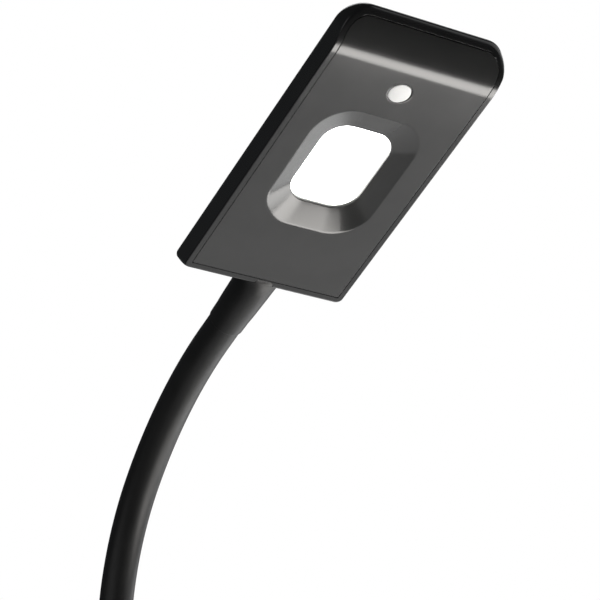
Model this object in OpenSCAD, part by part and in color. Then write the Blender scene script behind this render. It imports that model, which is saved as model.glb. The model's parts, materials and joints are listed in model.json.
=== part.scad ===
// Picture light: a slim LED head on a flexible neck, held on a panel's top edge by a screw clamp.
// The origin is the middle of the clamp's seat, +X is the way the head reaches, +Z is up.

/* [Head] */
// Width of the lamp head
head_w = 72; // [70:1:76]
// Length of the flat face, from the rear edge to the bend of the front lip
face_len = 118; // [116:1:122]
// Thickness of the head
head_t = 12.4; // [12.2:0.1:13]
// Radius of the front lip's upward sweep
lip_r = 25; // [23:0.5:27]
// Radius of the head's front corners, seen from above
front_r = 10; // [9:1:14]
// Radius of the head's top edges
edge_r = 3; // [2:0.5:3.5]
// How far the rear wall leans out between the face and the top
rear_lean = 5; // [4:0.5:6]
// Width of the rim that the cover shows round the face
rim_w = 2.4; // [2.2:0.1:2.8]

/* [Light window] */
// Distance of the window's middle from the rear edge
window_x = 65; // [64:1:67]
// Length of the lit window
window_len = 40; // [38:1:42]
// Width of the lit window
window_w = 29.6; // [28:0.4:31]
// Depth of the window below the face
window_depth = 4.8; // [4.4:0.2:5]
// Length of the dish's mouth
dish_len = 64; // [62:1:66]
// Width of the dish's mouth
dish_w = 47.6; // [46:0.4:49]

/* [Button] */
// Distance of the button's middle from the rear edge
button_x = 109; // [108:0.5:110]
// Radius of the button
button_r = 4.55; // [4:0.05:4.8]
// How far the button travels
button_travel = 0.8; // [0.6:0.1:0.8]

/* [Neck] */
// Outer radius of the neck's sleeve
neck_r = 7; // [6.8:0.1:7]
// Length of the straight foot above the socket
foot_len = 50; // [45:1:60]
// Radius of the lower bend
low_bend_r = 98; // [95:1:102]
// Angle of the lower bend, in degrees
low_turn = 39.5; // [38:0.5:41]
// Radius of the upper bend
high_bend_r = 152; // [148:1:156]
// Angle of the upper bend, in degrees
high_turn = 29; // [28:0.5:30]
// Straight length between the upper bend and the head
head_run = 40; // [39:1:42]
// Length of the boot behind the head
boot_len = 30; // [28:1:31]
// Height of the neck's axis above the face, at the head
neck_h = 6.3; // [6.2:0.1:6.6]

/* [Clamp] */
// Width of the clamp along the panel's edge
clamp_w = 34; // [32:1:40]
// Depth of the throat below the seat
throat_depth = 42; // [40:1:46]
// Inside of the front jaw, in front of the neck's axis
front_jaw_x = 16; // [16:0.5:18]
// Inside of the rear jaw, behind the neck's axis
rear_jaw_x = 22; // [22:0.5:24]
// Height of the block above the seat
block_h = 16; // [16:0.5:18]

/* [Hidden] */
$fn = 64;
tiny = 0.01;
wall = 1.8;
seam = 0.15;
foot_links = 2;
low_links = 2;
high_links = 3;
link_count = foot_links + low_links + high_links + 1;

// Head: heights of the stack above the face
cavity_top = head_t - wall;
diffuser_t = 1.8;
board_t = 1;
spreader_t = 1.2;
led_board_z = cavity_top - spreader_t - board_t;
chip_t = 0.8;
frame_z = window_depth + diffuser_t;
small_board_z = 8.6;
lip_top_z = head_t - 2.6;

// Head: plan sizes
rear_r = 4;
boot_notch = 9.4;
frame_len = window_len + 6;
frame_w = window_w + 5.4;
window_r = 9.5;
dish_r = 16;
boss_wall = 1.6;
led_board_len = 58;
led_board_w = 40;
driver_x0 = 14;
driver_x1 = 31;
driver_w = 40;
switch_half = 7;
post_r = 2.2;
screw_r = 1;
screw_head_r = 1.9;
screw_head_t = 1.2;
driver_post = [17.5, 15];
switch_post_y = 5.2;
led_screw_x = 25.5;

// Neck: radii and where each run ends, measured along the neck from the socket
core_r = 5;
core_bore = 3.2;
sleeve_bore = 6.1;
lead_r = 1.3;
link_gap = 5;
lead_gap = 1.4;
sleeve_gap = 0.2;
foot_s = 14;
neck_turn = low_turn + high_turn;
low_end = foot_len + low_bend_r * low_turn * PI / 180;
high_end = low_end + high_bend_r * high_turn * PI / 180;
first_joint = 20;
joint_s = concat(
    [0, first_joint],
    [for (i = [0:low_links]) foot_len + i * (low_end - foot_len) / low_links],
    [for (i = [1:high_links]) low_end + i * (high_end - low_end) / high_links]);
sleeve_tuck = 9;
core_tuck = 15;

// Clamp
boss_r = 10;
boss_h = 14;
socket_top = block_h + boss_h;
socket_r = 6;
jaw_t = 8;
rear_jaw_t = 10;
jaw_pad_t = 2.5;
screw_z = -24;
thread_r = 2.95;
thread_hole_r = 3;
pin_r = 2;
pin_hole_r = 2.05;
pad_front_x = -6;
pad_face_t = 2;
pad_t = 4;
pad_boss_t = 5;
pad_r = 11;
knob_gap = 18.5;
knob_r = 13;
knob_t = 14;
knob_lobes = 10;
inlet_z = 8;
channel_r = 3;
inlet_r = 4;
set_screw_z = 22;
pad_back_x = pad_front_x - pad_face_t - pad_t;
shoulder_x = pad_back_x - pad_boss_t - 0.1;
rear_x = -rear_jaw_x - rear_jaw_t;
knob_x = rear_x - knob_gap;

// ---- the neck's centre line: straight foot, lower bend, upper bend, straight into the head

function bend_point(r, t) = [r * (1 - cos(t)), 0, r * sin(t)];
low_start = [0, 0, socket_top + foot_len];
low_centre = low_start + [low_bend_r, 0, 0];
high_start = low_start + bend_point(low_bend_r, low_turn);
high_centre = high_start + high_bend_r * [cos(low_turn), 0, -sin(low_turn)];
neck_end = high_centre + high_bend_r * [-cos(neck_turn), 0, sin(neck_turn)];
head_dir = [sin(neck_turn), 0, cos(neck_turn)];
head_up = [-cos(neck_turn), 0, sin(neck_turn)];
head_origin = neck_end + head_run * head_dir - neck_h * head_up;
head_pitch = 90 - neck_turn;

module head() {
    translate(head_origin)
        rotate([0, -head_pitch, 0])
            children();
}

module ring(r, bore) {
    difference() {
        circle(r);
        if (bore > 0) circle(bore);
    }
}

module tube(h, r, bore) {
    linear_extrude(h) ring(r, bore);
}

// An arc of tube, from angle t0 to angle t1 round a centre in front of it
module bend(centre, bend_r, t0, t1, r, bore) {
    translate(centre)
        rotate([90, 0, 0])
            rotate([0, 0, 180 - t1])
                rotate_extrude(angle = t1 - t0)
                    translate([bend_r, 0])
                        ring(r, bore);
}

// A tube that follows the neck's centre line from s0 to s1, inside one run of it
module neck_run(s0, s1, r, bore) {
    if (s0 < foot_len)
        translate([0, 0, socket_top + s0])
            tube(min(s1, foot_len) - s0, r, bore);
    low0 = max(s0, foot_len);
    low1 = min(s1, low_end);
    if (low1 > low0 + tiny)
        bend(low_centre, low_bend_r, (low0 - foot_len) / low_bend_r * 180 / PI,
             (low1 - foot_len) / low_bend_r * 180 / PI, r, bore);
    high0 = max(s0, low_end);
    high1 = min(s1, high_end);
    if (high1 > high0 + tiny)
        bend(high_centre, high_bend_r, low_turn + (high0 - low_end) / high_bend_r * 180 / PI,
             low_turn + (high1 - low_end) / high_bend_r * 180 / PI, r, bore);
    if (s1 > high_end + tiny)
        translate(neck_end + (max(s0, high_end) - high_end) * head_dir)
            rotate([0, neck_turn, 0])
                tube(s1 - max(s0, high_end), r, bore);
}

// ---- the head's outer form: a side profile, a plan and a cross-section that meet

// Side profile, x along the head and y up; inset is how far it lies inside the outer surface
module side_profile(inset) {
    r = lip_r - inset;
    t = head_t - inset;
    e = edge_r - inset * 0.6;
    cy = t - e;
    cx = face_len + sqrt((r - e) * (r - e) - (cy - lip_r) * (cy - lip_r));
    d = [cx - face_len, cy - lip_r] / (r - e);
    x0 = inset + e;
    translate([inset, inset])
        square([face_len - inset, cy - inset]);
    translate([x0, inset])
        square([face_len - x0, t - inset]);
    translate([x0, cy])
        circle(e);
    intersection() {
        translate([face_len, lip_r])
            circle(r);
        translate([face_len - tiny, inset])
            square([cx - face_len + tiny, t - inset]);
    }
    translate([cx, cy])
        circle(e);
    intersection() {
        translate([face_len, lip_r])
            circle(r);
        polygon([[cx - tiny, cy], [cx + lip_r * d[0], cy + lip_r * d[1]], [cx + lip_r, inset],
                 [cx - tiny, inset]]);
    }
}

head_len = face_len + edge_r
    + sqrt(pow(lip_r - edge_r, 2) - pow(head_t - edge_r - lip_r, 2));

// The leaning rear wall, from the face's edge to where it meets the top's rounding
module rear_profile() {
    c = [edge_r - rear_lean, head_t - edge_r];
    turn = atan2(-c[0], c[1]) + asin(edge_r / norm(c));
    reach = sqrt(c * c - edge_r * edge_r);
    polygon([[0, 0], [wall / 2, 0], [wall / 2, head_t - edge_r], [edge_r + tiny, head_t - edge_r],
             [edge_r + tiny, head_t], [c[0], head_t], c, [-reach * sin(turn), reach * cos(turn)]]);
    translate(c)
        circle(edge_r);
}

// Rounded rectangle from x0 to x1, with its own radius at the rear and at the front
module plan(x0, x1, w, r0, r1) {
    translate([x0 + r0, -w / 2])
        square([x1 - r1 - x0 - r0, w]);
    translate([x0, -w / 2 + r0])
        square([r0 + tiny, w - 2 * r0]);
    translate([x1 - r1 - tiny, -w / 2 + r1])
        square([r1 + tiny, w - 2 * r1]);
    for (side = [-1, 1]) {
        translate([x0 + r0, side * (w / 2 - r0)])
            circle(r0);
        translate([x1 - r1, side * (w / 2 - r1)])
            circle(r1);
    }
}

module cross_section(inset) {
    w = head_w - 2 * inset;
    t = head_t - inset;
    e = edge_r - inset * 0.6;
    translate([-w / 2, -1])
        square([w, t - e + 1]);
    translate([-w / 2 + e, -1])
        square([w - 2 * e, t + 1]);
    for (side = [-1, 1])
        translate([side * (w / 2 - e), t - e])
            circle(e);
}

// The head's form: inset is how far it lies inside the outer surface, lean the rear wall's slant
module head_solid(inset, lean) {
    intersection() {
        rotate([90, 0, 0])
            translate([0, 0, -head_w])
                linear_extrude(2 * head_w) {
                    side_profile(inset);
                    if (lean > 0)
                        rear_profile();
                }
        translate([0, 0, -1])
            linear_extrude(head_t + 2)
                plan(inset - lean, head_len - inset, head_w - 2 * inset, rear_r - inset,
                     front_r - inset);
        translate([-lean - 1, 0, 0])
            rotate([90, 0, 90])
                linear_extrude(head_len + lean + 2)
                    cross_section(inset);
    }
}

// The cover's shell, with a notch in the leaning wall for the neck's boot
module head_shell() {
    difference() {
        head_solid(0, rear_lean);
        head_solid(wall, 0);
        translate([-rear_lean - 1, -boot_notch, -1])
            cube([rear_lean + 1 + tiny, 2 * boot_notch, head_t + 2]);
    }
}

// The space of the face panel and its lip, grown by gap all round
module panel_zone(gap) {
    inset = rim_w - gap;
    translate([0, 0, -1])
        linear_extrude(lip_top_z + 1 + gap)
            plan(inset, head_len - inset, head_w - 2 * inset, rear_r - inset, front_r - inset);
}

module rounded_slab(len, w, r, h) {
    translate([window_x, 0, 0])
        linear_extrude(h)
            plan(-len / 2, len / 2, w, r, r);
}

// A bowl's form, from a wide mouth to a narrower floor
module dish_form(mouth_grow, floor_grow, z0, z1) {
    hull() {
        translate([0, 0, z0])
            rounded_slab(dish_len + mouth_grow, dish_w + mouth_grow, dish_r, tiny, $fn = 32);
        translate([0, 0, z1 - tiny])
            rounded_slab(window_len + floor_grow, window_w + floor_grow, window_r, tiny,
                         $fn = 32);
    }
}

// ---- head parts

module post(x, y, z) {
    translate([x, y, z])
        cylinder(h = cavity_top + tiny - z, r = post_r);
}

module post_hole(x, y, z) {
    translate([x, y, z - 1])
        cylinder(h = head_t - 0.6 - z + 1, r = screw_r);
}

module small_posts() {
    for (side = [-1, 1]) {
        post(driver_post[0], side * driver_post[1], small_board_z + board_t);
        post(button_x, side * switch_post_y, small_board_z + board_t);
    }
}

module top_cover() {
    color([0.09, 0.09, 0.09])
        head()
            difference() {
                union() {
                    difference() {
                        head_shell();
                        panel_zone(seam);
                    }
                    small_posts();
                    for (side = [-1, 1], x = [20, 100])
                        translate([x, side * (head_w / 2 - wall - 0.45) - 0.45, 6.4])
                            cube([8, 0.9, 1]);
                    translate([wall - tiny, 0, neck_h])
                        rotate([0, 90, 0])
                            cylinder(h = 1.2, r = 3.5);
                }
                for (side = [-1, 1]) {
                    post_hole(driver_post[0], side * driver_post[1], small_board_z);
                    post_hole(button_x, side * switch_post_y, small_board_z);
                    post_hole(window_x + side * led_screw_x, 0, cavity_top);
                }
                translate([-1, 0, neck_h])
                    rotate([0, 90, 0])
                        cylinder(h = 6, r = 2.5);
            }
}

module face_panel() {
    color([0.33, 0.33, 0.33])
        head()
            difference() {
                union() {
                    intersection() {
                        head_shell();
                        panel_zone(0);
                    }
                    dish_form(2 * boss_wall, 2 * boss_wall, wall - tiny, window_depth);
                    for (side = [-1, 1], x = [20.5, 100.5])
                        translate([x, side * 32.4 - 0.5, wall - tiny])
                            cube([7, 1, 6]);
                }
                dish_form(0, 0, -tiny, window_depth + tiny);
                translate([button_x, 0, -1])
                    cylinder(h = wall + 2, r = button_r + 0.3);
            }
}

module diffuser() {
    color([0.97, 0.97, 0.95])
        head()
            translate([0, 0, window_depth])
                rounded_slab(window_len + 2 * boss_wall, window_w + 2 * boss_wall, window_r + 1,
                             diffuser_t);
}

module reflector_frame() {
    color("white")
        head()
            translate([0, 0, frame_z])
                difference() {
                    rounded_slab(frame_len, frame_w, window_r, led_board_z - frame_z);
                    translate([0, 0, -1])
                        rounded_slab(window_len, window_w, window_r, head_t);
                }
}

module led_board() {
    color([0.92, 0.92, 0.9])
        head()
            difference() {
                translate([0, 0, led_board_z])
                    rounded_slab(led_board_len, led_board_w, 3, board_t);
                for (side = [-1, 1])
                    translate([window_x + side * led_screw_x, 0, 0])
                        cylinder(h = head_t, r = screw_r + 0.15);
            }
}

module led_chips() {
    color([0.95, 0.85, 0.35])
        head()
            for (i = [-1.5:1:1.5], j = [-1:1:1])
                translate([window_x + i * 9 - 1.4, j * 8.5 - 1.75, led_board_z - chip_t])
                    cube([2.8, 3.5, chip_t]);
}

module heat_spreader() {
    color([0.75, 0.76, 0.78])
        head()
            difference() {
                translate([0, 0, led_board_z + board_t])
                    rounded_slab(led_board_len + 4, led_board_w + 8, 3, spreader_t);
                for (side = [-1, 1])
                    translate([window_x + side * led_screw_x, 0, 0])
                        cylinder(h = head_t, r = screw_r + 0.15);
            }
}

module driver_board() {
    color([0.1, 0.35, 0.2])
        head()
            difference() {
                translate([driver_x0, -driver_w / 2, small_board_z])
                    cube([driver_x1 - driver_x0, driver_w, board_t]);
                for (side = [-1, 1])
                    translate([driver_post[0], side * driver_post[1], 0])
                        cylinder(h = head_t, r = screw_r + 0.15);
            }
}

wire_r = 0.4;
wire_z = led_board_z + board_t - wire_r - 0.05;

// The board's parts: lead socket, inductor, controller and a capacitor
module driver_parts() {
    color([0.2, 0.2, 0.22])
        head() {
            translate([12, -4.5, small_board_z - 4])
                cube([7, 9, 4]);
            translate([25.5, -8, small_board_z - 3.4])
                cylinder(h = 3.4, r = 3.2);
            translate([23, 4, small_board_z - 1.4])
                cube([5, 4, 1.4]);
            translate([26, 13, small_board_z - 4.4])
                cylinder(h = 4.4, r = 2.5);
        }
}

module led_wires() {
    color([0.7, 0.1, 0.1])
        head()
            for (side = [-1, 1]) {
                translate([driver_x1, side * 6, wire_z])
                    rotate([0, 90, 0])
                        cylinder(h = window_x - led_board_len / 2 - driver_x1, r = wire_r);
                translate([window_x + led_board_len / 2, side * 3, wire_z])
                    rotate([0, 90, 0])
                        cylinder(h = button_x - switch_half - window_x - led_board_len / 2,
                                 r = wire_r);
            }
}

module switch_board() {
    color([0.1, 0.35, 0.2])
        head()
            difference() {
                translate([button_x - switch_half, -switch_half, small_board_z])
                    cube([2 * switch_half, 2 * switch_half, board_t]);
                for (side = [-1, 1])
                    translate([button_x, side * switch_post_y, 0])
                        cylinder(h = head_t, r = screw_r + 0.15);
            }
}

tact_h = 3.2;
plunger_r = 1.7;
plunger_h = 1.8;
button_t = 1.9;
flange_t = 0.8;
stem_top_z = small_board_z - tact_h - button_travel - 0.2;

module tact_switch() {
    color([0.15, 0.15, 0.15])
        head()
            translate([button_x, 0, small_board_z - tact_h])
                difference() {
                    translate([-3, -3, 0])
                        cube([6, 6, tact_h]);
                    translate([0, 0, -tiny])
                        cylinder(h = plunger_h + 0.2, r = plunger_r + 0.05);
                }
}

module tact_plunger() {
    color([0.85, 0.85, 0.8])
        head()
            translate([button_x, 0, stem_top_z])
                cylinder(h = plunger_h, r = plunger_r);
}

module switch_button() {
    color([0.93, 0.93, 0.92])
        head()
            translate([button_x, 0, 0]) {
                cylinder(h = button_t + tiny, r = button_r);
                translate([0, 0, button_t])
                    cylinder(h = flange_t, r = button_r + 1.1);
                cylinder(h = stem_top_z, r = 1.6);
            }
}

module board_screw(x, y, z) {
    translate([x, y, z - screw_head_t])
        difference() {
            union() {
                cylinder(h = screw_head_t, r = screw_head_r);
                cylinder(h = head_t - 0.9 - z + screw_head_t, r = screw_r - 0.02);
            }
            translate([0, 0, -tiny])
                cylinder(h = 0.7, r = 0.8, $fn = 6);
        }
}

module board_screws() {
    color([0.7, 0.7, 0.72])
        head()
            for (side = [-1, 1]) {
                board_screw(driver_post[0], side * driver_post[1], small_board_z);
                board_screw(button_x, side * switch_post_y, small_board_z);
                board_screw(window_x + side * led_screw_x, 0, led_board_z);
            }
}

// ---- where the neck meets the head; these are turned about the neck's axis, head end up

module at_head_end() {
    head()
        translate([0, 0, neck_h])
            rotate([0, 90, 0])
                children();
}

ferrule_r = 5.9;
flange_r = 6.6;
spigot_r = 2.4;
lead_bore = 1.5;

module neck_boot() {
    color([0.08, 0.08, 0.08])
        at_head_end()
            rotate_extrude()
                polygon([[7.1, -boot_len], [7.4, -boot_len], [7.62, -boot_len + 0.25],
                         [7.7, -boot_len + 0.8], [8, -20], [8.4, -9], [8.8, -3], [9.3, 0],
                         [flange_r + 0.1, 0], [flange_r + 0.1, -2.1], [6, -2.1], [6, -20],
                         [7.1, -20.5]]);
}

module head_ferrule() {
    color([0.78, 0.78, 0.8])
        at_head_end()
            difference() {
                union() {
                    translate([0, 0, -24])
                        cylinder(h = 24, r = ferrule_r);
                    translate([0, 0, -2])
                        cylinder(h = 2, r = flange_r);
                    cylinder(h = 8.5, r = spigot_r);
                }
                translate([0, 0, -25])
                    cylinder(h = 25 - core_tuck + 0.1, r = core_r + 0.05);
                translate([0, 0, -core_tuck])
                    cylinder(h = 40, r = lead_bore);
            }
}

module lock_nut() {
    color([0.72, 0.7, 0.62])
        at_head_end()
            translate([0, 0, wall + 1.8])
                difference() {
                    cylinder(h = 2.6, r = 3.5 / cos(30), $fn = 6);
                    translate([0, 0, -1])
                        cylinder(h = 5, r = spigot_r + 0.03);
                }
}

module lock_washer() {
    color([0.8, 0.8, 0.82])
        at_head_end()
            translate([0, 0, wall + 1.2])
                tube(0.6, 3.5, spigot_r + 0.1);
}

module head_lead() {
    color([0.15, 0.15, 0.16])
        at_head_end()
            translate([0, 0, -core_tuck])
                cylinder(h = core_tuck + 12, r = lead_r);
}

// ---- neck

// Link k runs between joints k - 1 and k; the first is held in the socket, the last in the head
function link_start(k, gap) = k == 1 ? -foot_s : joint_s[k - 1] + gap / 2;
function link_stop(k, gap) =
    k == link_count ? high_end + head_run - core_tuck : joint_s[k] - gap / 2;

module neck_core(k) {
    color([0.55, 0.56, 0.58])
        neck_run(link_start(k, link_gap), link_stop(k, link_gap), core_r, core_bore);
}

module neck_lead(k) {
    color([0.15, 0.15, 0.16])
        neck_run(link_start(k, lead_gap), link_stop(k, lead_gap), lead_r, 0);
}

module neck_sleeve(k) {
    s0 = joint_s[k - 1] + sleeve_gap / 2;
    s1 = k == link_count ? high_end + head_run - boot_len + sleeve_tuck
        : joint_s[k] - sleeve_gap / 2;
    color([0.07, 0.07, 0.07])
        neck_run(s0, s1, neck_r, sleeve_bore);
}

// ---- clamp

module clamp_outline() {
    r = 6;
    front = front_jaw_x + jaw_t;
    foot = 3;
    difference() {
        union() {
            translate([rear_x, -throat_depth + foot])
                square([front - rear_x, throat_depth - foot + block_h - r]);
            translate([rear_x + r, block_h - r])
                square([front - rear_x - 2 * r, r]);
            translate([rear_x + r, block_h - r])
                circle(r);
            translate([front - r, block_h - r])
                circle(r);
            for (x = [rear_x + foot, front - foot])
                translate([x, -throat_depth + foot])
                    circle(foot);
            translate([rear_x + foot, -throat_depth])
                square([rear_jaw_t - foot, foot]);
            translate([front_jaw_x, -throat_depth])
                square([jaw_t - foot, foot]);
        }
        translate([-rear_jaw_x, -throat_depth - 1])
            square([rear_jaw_x + front_jaw_x, throat_depth + 1]);
    }
}

module clamp_body() {
    color([0.12, 0.12, 0.12])
        difference() {
            union() {
                rotate([90, 0, 0])
                    translate([0, 0, -clamp_w / 2])
                        linear_extrude(clamp_w)
                            clamp_outline();
                translate([0, 0, block_h - tiny])
                    cylinder(h = boss_h + tiny, r = boss_r);
            }
            translate([0, 0, block_h - 2])
                cylinder(h = boss_h + 3, r = socket_r);
            translate([0, 0, inlet_z])
                cylinder(h = block_h - inlet_z, r = channel_r);
            translate([0, 0, inlet_z])
                sphere(channel_r);
            translate([rear_x + 11, 0, inlet_z])
                rotate([0, 90, 0])
                    cylinder(h = -rear_x - 11, r = channel_r);
            translate([rear_x - 1, 0, inlet_z])
                rotate([0, 90, 0])
                    cylinder(h = 13, r = inlet_r + 0.05);
            translate([rear_x - 1, 0, screw_z])
                rotate([0, 90, 0])
                    cylinder(h = rear_jaw_t + 2, r = thread_hole_r);
            translate([-boss_r - 1, 0, set_screw_z])
                rotate([0, 90, 0])
                    cylinder(h = boss_r, r = 2);
        }
}

module jaw_pad() {
    color([0.2, 0.2, 0.2])
        translate([front_jaw_x - jaw_pad_t, -clamp_w / 2 + 2, -throat_depth + 2])
            cube([jaw_pad_t, clamp_w - 4, throat_depth - 6]);
}

// Turned parts of the clamp's screw lie along +X at the screw's height
module on_screw(x) {
    translate([x, 0, screw_z])
        rotate([0, 90, 0])
            children();
}

module pressure_pad() {
    color([0.5, 0.5, 0.52])
        difference() {
            union() {
                on_screw(pad_back_x)
                    cylinder(h = pad_t, r = pad_r);
                on_screw(pad_back_x - pad_boss_t)
                    cylinder(h = pad_boss_t + tiny, r = 5.5);
            }
            on_screw(pad_back_x - pad_boss_t - 1)
                cylinder(h = pad_boss_t + pad_t + 2, r = pin_hole_r);
            on_screw(pad_back_x + 2)
                cylinder(h = pad_t, r = 3.9);
        }
}

module pad_face() {
    color([0.2, 0.2, 0.2])
        on_screw(pad_front_x - pad_face_t)
            cylinder(h = pad_face_t, r = pad_r - 0.5);
}

clip_x = pad_back_x + 2.3;
clip_t = 0.6;

module clamp_screw() {
    color([0.75, 0.76, 0.78])
        difference() {
            union() {
                on_screw(knob_x - 12)
                    cylinder(h = shoulder_x - knob_x + 12, r = thread_r);
                on_screw(shoulder_x - tiny)
                    cylinder(h = pad_back_x + 3.4 - shoulder_x, r = pin_r);
            }
            on_screw(clip_x - 0.02)
                tube(clip_t + 0.04, pin_r + 1, 1.6);
        }
}

module retaining_clip() {
    color([0.6, 0.6, 0.62])
        difference() {
            on_screw(clip_x)
                tube(clip_t, 3.5, 1.62);
            translate([clip_x - 1, -1.3, screw_z])
                cube([clip_t + 2, 2.6, 6]);
        }
}

module clamp_knob() {
    color([0.1, 0.1, 0.1])
        on_screw(knob_x)
            mirror([0, 0, 1])
                difference() {
                    union() {
                        cylinder(h = 4, r = 8);
                        translate([0, 0, 3])
                            cylinder(h = knob_t - 3, r = knob_r);
                    }
                    for (i = [0:knob_lobes - 1])
                        rotate([0, 0, (i + 0.5) * 360 / knob_lobes])
                            translate([knob_r + 1.6, 0, 2])
                                cylinder(h = knob_t, r = 3);
                    translate([0, 0, -1])
                        cylinder(h = 13, r = thread_r + 0.03);
                    translate([0, 0, knob_t - 1])
                        cylinder(h = 2, r = 8);
                }
}

module base_ferrule() {
    color([0.78, 0.78, 0.8])
        translate([0, 0, block_h - 1.9])
            difference() {
                cylinder(h = boss_h + 1.7, r = socket_r - 0.05);
                translate([0, 0, 1.8])
                    cylinder(h = boss_h + 2, r = core_r + 0.05);
                translate([0, 0, -1])
                    cylinder(h = 4, r = 2.4);
            }
}

module neck_collar() {
    color([0.1, 0.1, 0.1])
        translate([0, 0, socket_top])
            rotate_extrude()
                polygon([[neck_r + 0.12, 0], [9.6, 0], [9.6, 1.5], [9.2, 3.5], [8.6, 5.2], [7.9, 6],
                         [neck_r + 0.12, 6]]);
}

module set_screw() {
    color([0.3, 0.3, 0.32])
        translate([-socket_r - 3.9, 0, set_screw_z])
            rotate([0, 90, 0])
                difference() {
                    cylinder(h = 3.94, r = 1.95);
                    translate([0, 0, -1])
                        cylinder(h = 3, r = 1.15, $fn = 6);
                }
}

module dc_inlet() {
    color([0.06, 0.06, 0.06])
        translate([rear_x, 0, inlet_z])
            rotate([0, 90, 0])
                difference() {
                    union() {
                        cylinder(h = 11.5, r = inlet_r);
                        translate([0, 0, -1.2])
                            cylinder(h = 1.2, r = inlet_r + 1.6);
                    }
                    translate([0, 0, -2])
                        cylinder(h = 11, r = 2.75);
                }
}

module inlet_pin() {
    color([0.85, 0.83, 0.75])
        translate([rear_x, 0, inlet_z])
            rotate([0, 90, 0])
                translate([0, 0, 1.5])
                    cylinder(h = 7.5, r = 1.05);
}

// From the inlet along the channel, round a bend and up to the neck's first lead
module base_lead() {
    bend_r = 4;
    color([0.15, 0.15, 0.16]) {
        translate([rear_x + 11.5, 0, inlet_z + 0.5])
            rotate([0, 90, 0])
                cylinder(h = -rear_x - 11.5 - bend_r, r = lead_r);
        translate([-bend_r, 0, inlet_z + 0.5 + bend_r])
            rotate([90, 0, 0])
                rotate([0, 0, -90])
                    rotate_extrude(angle = 90)
                        translate([bend_r, 0])
                            circle(lead_r);
        translate([0, 0, inlet_z + 0.5 + bend_r])
            cylinder(h = socket_top - foot_s - inlet_z - 0.5 - bend_r, r = lead_r);
    }
}

top_cover();
face_panel();
diffuser();
reflector_frame();
led_board();
led_chips();
heat_spreader();
driver_board();
driver_parts();
led_wires();
switch_board();
tact_switch();
tact_plunger();
switch_button();
board_screws();
neck_boot();
head_ferrule();
lock_nut();
lock_washer();
head_lead();
for (k = [1:link_count]) {
    neck_core(k);
    neck_lead(k);
    neck_sleeve(k);
}
clamp_body();
jaw_pad();
pressure_pad();
pad_face();
clamp_screw();
retaining_clip();
clamp_knob();
base_ferrule();
neck_collar();
set_screw();
dc_inlet();
inlet_pin();
base_lead();
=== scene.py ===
"""A picture light: slim LED head, flexible neck and panel clamp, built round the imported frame."""

import json
import math

import bmesh
import bpy
from mathutils import Matrix, Vector


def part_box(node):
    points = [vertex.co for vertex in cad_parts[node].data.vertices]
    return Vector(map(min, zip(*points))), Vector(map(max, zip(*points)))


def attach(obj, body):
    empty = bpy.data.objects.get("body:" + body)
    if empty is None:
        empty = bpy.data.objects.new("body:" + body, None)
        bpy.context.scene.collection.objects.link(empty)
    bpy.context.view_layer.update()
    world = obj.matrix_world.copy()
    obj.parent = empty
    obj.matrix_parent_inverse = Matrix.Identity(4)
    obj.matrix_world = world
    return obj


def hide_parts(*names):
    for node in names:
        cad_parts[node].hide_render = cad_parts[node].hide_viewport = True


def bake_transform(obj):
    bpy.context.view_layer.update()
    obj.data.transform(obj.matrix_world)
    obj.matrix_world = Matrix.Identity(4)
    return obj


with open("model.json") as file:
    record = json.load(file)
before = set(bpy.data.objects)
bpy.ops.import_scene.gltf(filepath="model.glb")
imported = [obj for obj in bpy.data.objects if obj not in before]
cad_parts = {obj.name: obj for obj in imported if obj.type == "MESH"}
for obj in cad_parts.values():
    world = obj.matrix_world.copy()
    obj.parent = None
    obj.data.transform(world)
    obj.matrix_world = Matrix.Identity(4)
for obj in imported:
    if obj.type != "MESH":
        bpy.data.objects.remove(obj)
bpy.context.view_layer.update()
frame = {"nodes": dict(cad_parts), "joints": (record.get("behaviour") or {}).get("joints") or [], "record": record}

MM = 0.001
SEGMENTS = 64

# The head, in millimetres, in its own frame: x along it from the rear edge, z from the face upwards
FACE_LEN = 118.0
LIP_R = 25.0
LIP_EXTRA = 0.6
HEAD_W = 72.6
HEAD_T = 12.4
WALL = 1.8
EDGE_R = 3.0
FRONT_R = 10.5
REAR_R = 2.5
REAR_LEAN = 5.0
RIM_W = 2.4
SEAM = 0.2
TOP_INSET = 9.0
WINDOW_X = 65.0
WINDOW = (40.0, 29.6, 9.5)
MOUTH = (64.0, 47.6, 16.0)
WINDOW_DEPTH = 4.8
DIFFUSER_T = 1.8
BUTTON_X = 109.0
BUTTON_R = 4.55
NECK_H = 6.3

# The neck's centre line, in millimetres along it from the top of the socket
NECK_R = 7.2
SLEEVE_BORE = 6.1
FOOT_LEN = 50.0
LOW_BEND = (98.0, math.radians(39.5))
HIGH_BEND = (152.0, math.radians(29.0))
HEAD_RUN = 40.0
BOOT_LEN = 30.0


# ---------------------------------------------------------------- the frame

def head_matrix():
    """From the head's own frame, in millimetres, to the row frame."""
    press = next(j for j in frame["joints"] if j["name"] == "button_press")
    up = Vector(press["axis"]).normalized()
    along = Vector((up.z, 0, -up.x))
    places = [v.co for v in frame["nodes"]["face_panel"].data.vertices]
    rear = min(p.dot(along) for p in places) - RIM_W * MM
    origin = along * rear + up * min(p.dot(up) for p in places)
    turn = Matrix((along, Vector((0, 1, 0)), up)).transposed().to_4x4()
    return Matrix.Translation(origin) @ turn @ Matrix.Scale(MM, 4)


HEAD = head_matrix()
ROW = Matrix.Scale(MM, 4)
SOCKET_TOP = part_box("neck_collar")[0].z / MM


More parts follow.
